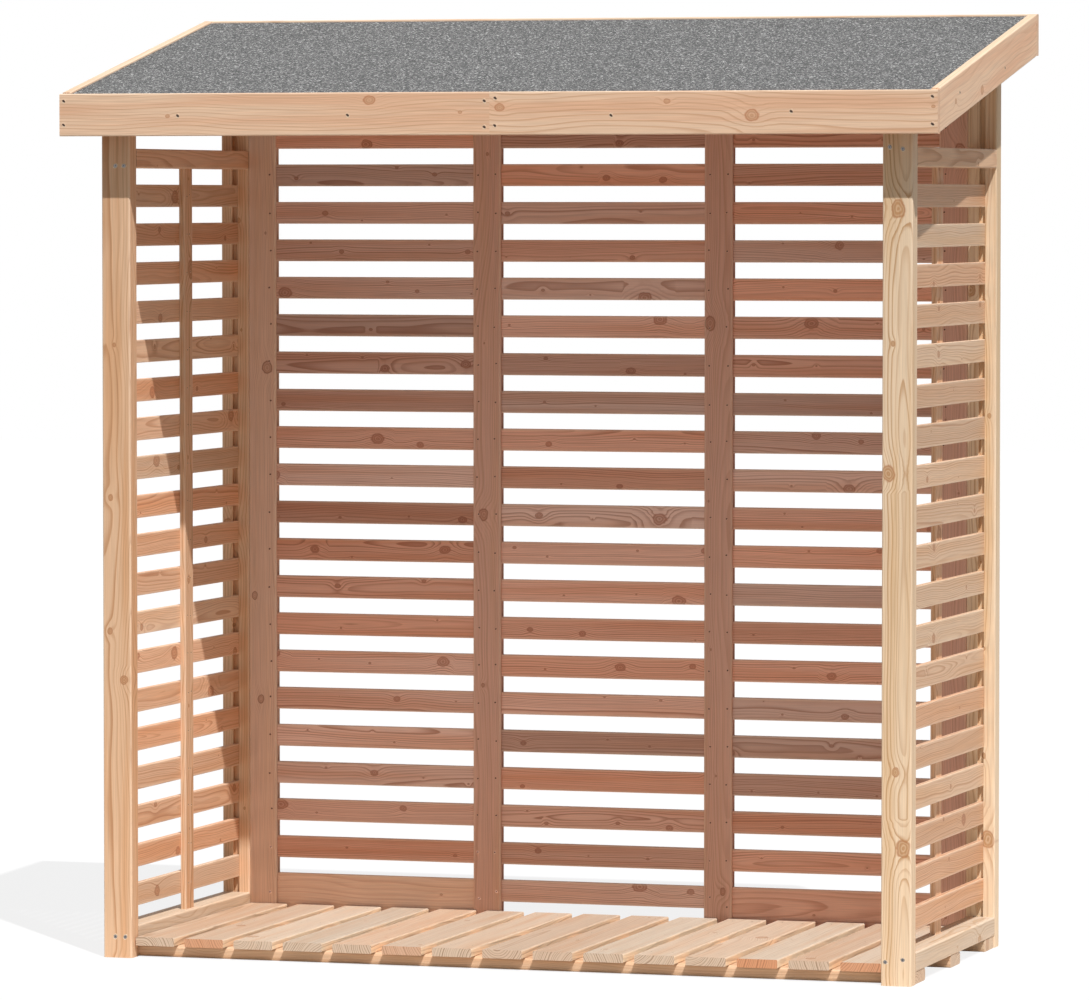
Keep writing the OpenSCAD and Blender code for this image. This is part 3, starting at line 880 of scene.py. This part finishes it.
# Points of every spot at once, with up = out x across:
# spot + radius cos(angle + turn) across + radius sin(angle + turn) up + height out
# radius and height are arrays of spots by rings by segments, or shapes that spread to it.
def roundGrids(spots, facing, radius, height, turns=0.0):
    across, out = (np.array(side, float) for side in facings[facing])
    spots = np.array(spots, float)
    rings, segments = np.broadcast(radius, height).shape[-2:]
    shape = (len(spots), rings, segments)
    radius = np.broadcast_to(radius, shape)
    height = np.broadcast_to(height, shape)
    angle = np.arange(segments) * 2 * np.pi / segments
    turned = angle + np.broadcast_to(turns, (len(spots),))[:, None, None]
    points = spots[:, None, None, :] + height[..., None] * out
    points = points + (radius * np.cos(turned))[..., None] * across
    points = points + (radius * np.sin(turned))[..., None] * np.cross(out, across)
    onDisc = np.stack([radius * np.cos(angle), radius * np.sin(angle)], -1) / radius.max()
    ring, step = np.meshgrid(np.arange(rings - 1), np.arange(segments), indexing="ij")
    after = (step + 1) % segments
    quads = np.stack([ring * segments + step, (ring + 1) * segments + step,
                      (ring + 1) * segments + after, ring * segments + after], -1).reshape(-1, 4)
    starts = np.arange(len(spots))[:, None, None] * rings * segments
    caps = np.arange(segments) + starts[:, 0]
    return points.reshape(-1, 3), onDisc.reshape(-1, 2), (quads + starts).reshape(-1, 4), caps


# One object from several grids, with the places on the disc as its UV map; open grids have no cap.
def makeFasteners(name, grids, material, capped=True):
    points, places, faces, total = [], [], [], 0
    for gridPoints, onDisc, quads, caps in grids:
        points.append(gridPoints)
        places.append(onDisc)
        faces += (quads + total).tolist()
        if capped:
            faces += (caps + total).tolist()
        total += len(gridPoints)
    mesh = bpy.data.meshes.new(name)
    mesh.from_pydata(np.concatenate(points).tolist(), [], faces)
    corners = np.empty(len(mesh.loops), dtype=np.int32)
    mesh.loops.foreach_get("vertex_index", corners)
    mesh.uv_layers.new(name="disc").data.foreach_set("uv", np.concatenate(places)[corners].ravel())
    mesh.shade_smooth()
    mesh.materials.append(material)
    piece = bpy.data.objects.new(name, mesh)
    bpy.context.scene.collection.objects.link(piece)
    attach(piece, "root")
    print(name + ":", total, "points")


# Ragged outline: 1 + amount times three waves round the rim with random phases, for each spot.
def ragged(count, segments, amount):
    angle = np.arange(segments) * 2 * np.pi / segments
    waves = np.array([2, 5, 9])
    phases = random.uniform(0, 2 * np.pi, (count, 3, 1))
    sizes = np.array([0.5, 0.3, 0.2])[:, None]
    return 1 + amount * (sizes * np.sin(waves[:, None] * angle + phases)).sum(1)[:, None, :]


# Head with a cross recess: height = proud - dome (r / R)^2 - slotDepth inside either arm, sunk at the rim.
def screwHeads(values):
    rimShare, rimHeight = np.array(values["rim"]).T
    evenShare = np.linspace(*values["even"], values["rings"] - len(rimShare))
    share = np.concatenate([evenShare, rimShare])[:, None]
    angle = np.arange(values["segments"]) * 2 * np.pi / values["segments"]
    x = np.abs(share * values["radius"] * np.cos(angle))
    y = np.abs(share * values["radius"] * np.sin(angle))
    inSlot = [np.clip((values["slotHalf"] - a) / values["slotEdge"] + 0.5, 0, 1)
              * np.clip((values["slotReach"] - b) / values["slotEdge"] + 0.5, 0, 1)
              for a, b in ((x, y), (y, x))]
    height = values["proud"] - values["dome"] * share ** 2 - values["slotDepth"] * np.maximum(*inSlot)
    height[-len(rimShare):] = rimHeight[:, None] * values["proud"]
    return values["radius"] * share * np.ones(len(angle)), height


# Ring of torn fibres: from inner to a ragged outer edge, by the profile.
def tornRing(values, count):
    share, height = np.array(values["profile"]).T[..., None]
    outer = values["outer"] * ragged(count, values["segments"], values["ragged"])
    radius = values["inner"] + (outer - values["inner"]) * share
    return radius, height * values["proud"] * np.ones(values["segments"])


# Crater pushed up round a sunk head: a flat floor, a rim, and a foot that dives into the wood.
def crater(values, count):
    share, height = np.array(craterProfile).T[..., None]
    wobble = 1 + (ragged(count, values["segments"], values["ragged"]) - 1) * share
    return values["radius"] * share * wobble, height * values["proud"] * np.ones(values["segments"])


# Zinc, darkened with painted shade in the arms of the recess, and dark where it is dirty.
def screwMaterial(values):
    material, tree, shader = newMaterial("zinc screws")
    where = tree.nodes.new("ShaderNodeTexCoord")
    x, y = parts(tree, where.outputs["UV"])[:2]
    x = calc(tree, "ABSOLUTE", x)
    y = calc(tree, "ABSOLUTE", y)
    half = values["slotHalf"] / values["radius"]
    armSide = (half * share for share in values["armSide"])
    inArm = rise(tree, calc(tree, "MINIMUM", x, y), *armSide)
    # painted shade in the arms of the cross recess
    armShadeMask = times(tree, inArm, rise(tree, calc(tree, "MAXIMUM", x, y), *values["armEnd"]))
    worn = cloud(tree, where.outputs["Object"], values["dirtWaves"], 2.0).outputs[0]
    dirtAndRecessShade = calc(tree, "MAXIMUM", times(tree, armShadeMask, values["armShade"]), rise(tree, worn, *values["dirtFrom"]))
    colour = blendColour(tree, dirtAndRecessShade, values["metal"], values["dirtAndShade"])
    finish(tree, shader, colour, spread(tree, worn, *values["rough"]))
    shader.inputs["Metallic"].default_value = values["metallic"]
    return material


# Wood torn by a nail: a slanted hole, darkened as painted shade, a pale lip below it, which is painted light,
# and the wood's own colour at the edge, with darker stains.
# hole = 1 - step(length of (u / long, v / short)), with u and v turned by slant
def woundMaterial(name):
    wood, holeShade, litLip, long, short, slant = wounds[name]
    material, tree, shader = newMaterial(name)
    where = tree.nodes.new("ShaderNodeTexCoord")
    x, y = parts(tree, where.outputs["UV"])[:2]
    wobble = cloud(tree, where.outputs["Object"], tear["waves"], 2.0)
    wx, wy, wz = parts(tree, wobble.outputs["Color"])
    x = timesPlus(tree, minus(tree, wx, 0.5), tear["wobble"], x)
    y = timesPlus(tree, minus(tree, wy, 0.5), tear["wobble"], y)
    u = add(tree, times(tree, x, math.cos(slant)), times(tree, y, math.sin(slant)))
    v = minus(tree, times(tree, y, math.cos(slant)), times(tree, x, math.sin(slant)))
    away = length(tree, over(tree, u, long), over(tree, v, short))
    below = rise(tree, times(tree, y, -1.0), 0.0, tear["lipDepth"])
    # pale lower lip: painted light
    colour = blendColour(tree, times(tree, below, fall(tree, away, *tear["lipEdge"])), wood, litLip)
    stained = tuple(c * tear["stainTone"] for c in wood)
    colour = blendColour(tree, rise(tree, wz, *tear["stain"]), colour, stained)
    # dark hole: painted shade
    colour = blendColour(tree, fall(tree, away, *tear["holeEdge"]), colour, holeShade)
    finish(tree, shader, colour, spread(tree, wz, *tear["rough"]))
    return material


# Where a node's face lies, in millimetres: axis 0, 1 or 2, and side 0 for its low face or 1 for its high one.
def faceAt(name, axis, side):
    return 1000 * float(nodeSpan(name)[side][axis])


# Middles of a wall's slats, in millimetres, from the low edge of its first one.
def slatMiddles(low):
    return low + 1000 * (slatHeight / 2 + slatPitch * np.arange(sideSlats["count"]))


# Spots in millimetres to metres, each shifted by up to jitter in its own face; still is the axis out of it.
def spotList(spots, jitter, still):
    spots = np.array(spots, float)
    shift = random.uniform(-jitter, jitter, spots.shape)
    shift[:, still] = 0
    return (spots + shift) / 1000


# places of the fasteners, in millimetres: first the posts' screws, the same behind as in front
postScrews = [(-935.5, 1845), (-914.5, 1845), (-941, 49.4), (-916.5, 49.4),
              (916.4, 1884.5), (946.7, 1880), (910.4, 54), (951, 60)]
postFaces = {"front": faceAt("front_left_post", 1, 0), "rear": faceAt("rear_left_post", 1, 1)}
heads, torn = [], []
for facing, y in postFaces.items():
    spots = [(x, y, z) for x, z in postScrews]
    places = spotList(spots, 0, 1)
    turns = random.uniform(0, screws["turn"], len(spots))
    heads.append(roundGrids(places, facing, *screwHeads(screws), turns))
    ring = tornRing(splinters, len(spots))
    torn.append(roundGrids(spotList(spots, 0, 1), facing, *ring))
makeFasteners("post_screws", heads, screwMaterial(screws))
makeFasteners("screw_splinters", torn, woundMaterial("splintered wood"), capped=False)

# the fascia's nails; those of the rear fascia and of the left one aren't seen and follow the others
frontY, rearY = faceAt("front_fascia_left", 1, 0), faceAt("rear_fascia", 1, 1)
rightX = faceAt("right_fascia", 0, 1)
fasciaTop = faceAt("front_fascia_left", 2, 1)
frontNails = [(-1033.4, 1992.5), (-1033.4, 1939), (-12.5, 1991), (12, 1996), (-12.8, 1933), (13, 1933),
              (1032, 1994), (1032, 1934), (-755, 1961), (-338, 1960), (289, 1958), (708, 1963)]
rearNails = [(x, z) for x in (-1033, -12, 12, 1032) for z in (2120, 2178)]
rearNails += [(x, 2150) for x in (-708, -289, 338, 755)]
sideNails = ((-286, -44), (153, -70))       # place along the side and drop from the fascia's top
fasciaNails = {
    "front": [(x, frontY, z) for x, z in frontNails],
    "rear": [(x, rearY, z) for x, z in rearNails],
    "right": [(rightX, y, fasciaTop + (y - frontY) * math.tan(roofPitch) + drop) for y, drop in sideNails],
}
fasciaNails["left"] = [(-x, y, z) for x, y, z in fasciaNails["right"]]
grids = []
for facing, spots in fasciaNails.items():
    spots = spotList(spots, 2, 1 if facing in ("front", "rear") else 0)
    grids.append(roundGrids(spots, facing, *crater(nailMarks, len(spots))))
makeFasteners("fascia_nail_marks", grids, woundMaterial("nailed fascia"))

# pins of the back wall: one at each end of each slat and board
stileY = faceAt("back_inner_left_stile", 1, 0)
backRows = slatMiddles(faceAt("back_left_slats", 2, 0))
footRow, lowestRow, headRow = 75, 96.5, 1937        # foot boards, the middle bay's lowest slat, head boards
outerBayPins, middleBayPins = (-845, -312, 312, 845), (-269, 269)       # along the wall
stilePins = [(x, stileY, z) for x in outerBayPins for z in (footRow, *backRows, headRow)]
stilePins += [(x, stileY, z) for x in middleBayPins for z in (lowestRow, *backRows, headRow)]
grids = [roundGrids(spotList(stilePins, 3, 1), "front", *crater(pins, len(stilePins)))]
makeFasteners("stile_pins", grids, woundMaterial("pinned stile"))

# pins of the battens: two for each slat, side by side
sideRows = slatMiddles(faceAt("left_wall_slats", 2, 0))
battenY = (faceAt("left_centre_batten", 1, 0) + faceAt("left_centre_batten", 1, 1)) / 2
battenFaces = {"right": faceAt("left_centre_batten", 0, 1), "left": faceAt("right_centre_batten", 0, 0)}
grids = []
for facing, x in battenFaces.items():
    spots = [(x, battenY + offset, z) for z in sideRows for offset in (-9, 9)]
    grids.append(roundGrids(spotList(spots, 3, 0), facing, *crater(pins, len(spots))))
makeFasteners("batten_pins", grids, woundMaterial("pinned batten"))

# pins of the floor: two for each board on each bearer
halfBoard = 1000 * floorBoard / 2
firstBoard, lastBoard = faceAt("floor_deck", 0, 0) + halfBoard, faceAt("floor_deck", 0, 1) - halfBoard
floorTop = faceAt("floor_deck", 2, 1)
bearerRows = (-326, 7, 340)
floorPins = [(x + offset, y, floorTop) for x in np.linspace(firstBoard, lastBoard, deck["count"])
             for y in bearerRows for offset in (-26, 26)]
grids = [roundGrids(spotList(floorPins, 4, 2), "top", *crater(pins, len(floorPins)))]
makeFasteners("floor_pins", grids, woundMaterial("pinned floor"))

bpy.context.scene.view_settings.view_transform = "Standard"
